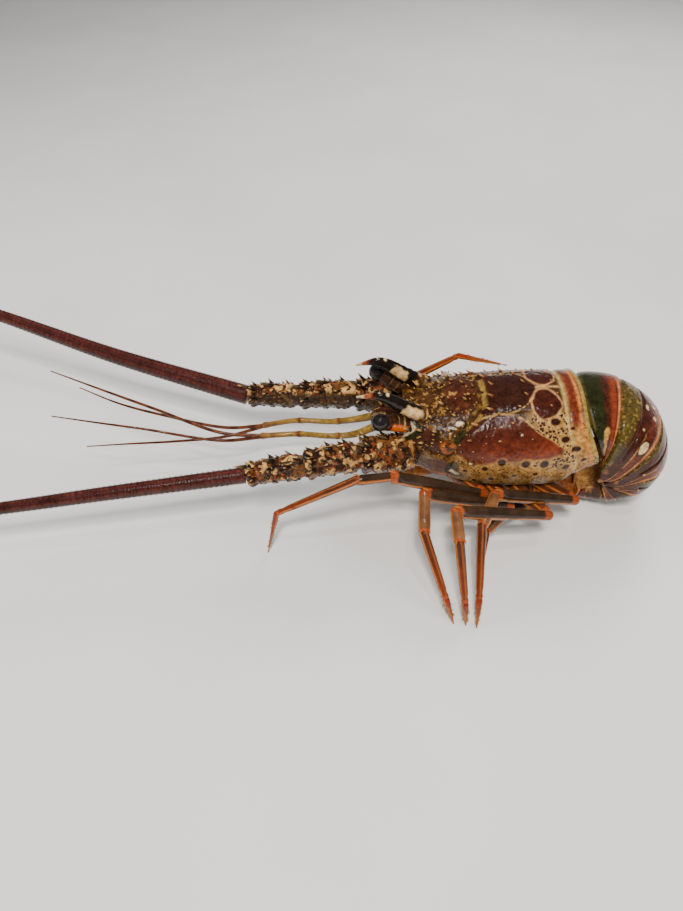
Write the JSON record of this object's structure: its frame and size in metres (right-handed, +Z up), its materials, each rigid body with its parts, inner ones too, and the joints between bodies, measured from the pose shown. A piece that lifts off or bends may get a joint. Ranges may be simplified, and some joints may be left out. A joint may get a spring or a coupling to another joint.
{
  "type": "spiny lobster",
  "caption": "Still life-size Caribbean spiny lobster standing with its tail curled under, long spiny feelers stretched forwards and slender walking legs",
  "frame": {"origin": "on the flat under the curled tail, where the sixth tail ring meets the floor", "axes": "+Z up; the head and the long feelers point to -X; the animal's left side is towards -Y"},
  "size_m": [0.7184, 0.2741, 0.1066],
  "materials": {
    "olive_shell": "wet glossy shell, mottled olive, brown and cream",
    "maroon_shell": "wet glossy shell, dark maroon with cream lines and spots",
    "pale_underside": "satin pale yellowish shell",
    "banded_horn": "glossy horn, banded black and cream",
    "black_eye": "polished black",
    "orange_shell": "glossy orange shell",
    "yellow_feeler": "satin pale yellow",
    "speckled_stalk": "glossy cream shell with dark round spots",
    "maroon_feeler": "rough purplish maroon with rows of small dark spines",
    "tail_fan": "thin satin orange brown plates",
    "slate_leg": "glossy dark slate with orange edge stripes",
    "red_brown_leg": "glossy red brown with pale stripe"
  },
  "bodies": {
    "root": {"carapace_front": "olive_shell", "carapace_rear": "maroon_shell", "sternum": "pale_underside", "abdomen_1": "maroon_shell", "abdomen_2": "maroon_shell", "abdomen_3": "maroon_shell", "abdomen_4": "maroon_shell", "abdomen_5": "maroon_shell", "abdomen_6": "maroon_shell", "telson": "tail_fan", "uropod_inner_left": "tail_fan", "uropod_outer_left": "tail_fan", "horn_left": "banded_horn", "eye_left": "black_eye", "eyestalk_left": "orange_shell", "uropod_inner_right": "tail_fan", "uropod_outer_right": "tail_fan", "horn_right": "banded_horn", "eye_right": "black_eye", "eyestalk_right": "orange_shell", "antennular_plate": "olive_shell", "antenna_base_left": "speckled_stalk", "antenna_stalk_middle_left": "speckled_stalk", "antenna_stalk_end_left": "speckled_stalk", "flagellum_1_left": "maroon_feeler", "flagellum_2_left": "maroon_feeler", "flagellum_3_left": "maroon_feeler", "antennule_left": "yellow_feeler", "antenna_base_right": "speckled_stalk", "antenna_stalk_middle_right": "speckled_stalk", "antenna_stalk_end_right": "speckled_stalk", "flagellum_1_right": "maroon_feeler", "flagellum_2_right": "maroon_feeler", "flagellum_3_right": "maroon_feeler", "antennule_right": "yellow_feeler", "mouth": "pale_underside", "maxilliped_left": "orange_shell", "maxilliped_right": "orange_shell", "leg_left_1_upper": "slate_leg", "leg_left_1_lower": "red_brown_leg", "leg_left_2_upper": "slate_leg", "leg_left_2_lower": "red_brown_leg", "leg_left_3_upper": "slate_leg", "leg_left_3_lower": "red_brown_leg", "leg_left_4_upper": "slate_leg", "leg_left_4_lower": "red_brown_leg", "leg_left_5_upper": "slate_leg", "leg_left_5_lower": "red_brown_leg", "leg_right_1_upper": "slate_leg", "leg_right_1_lower": "red_brown_leg", "leg_right_2_upper": "slate_leg", "leg_right_2_lower": "red_brown_leg", "leg_right_3_upper": "slate_leg", "leg_right_3_lower": "red_brown_leg", "leg_right_4_upper": "slate_leg", "leg_right_4_lower": "red_brown_leg", "leg_right_5_upper": "slate_leg", "leg_right_5_lower": "red_brown_leg"}
  },
  "joints": []
}
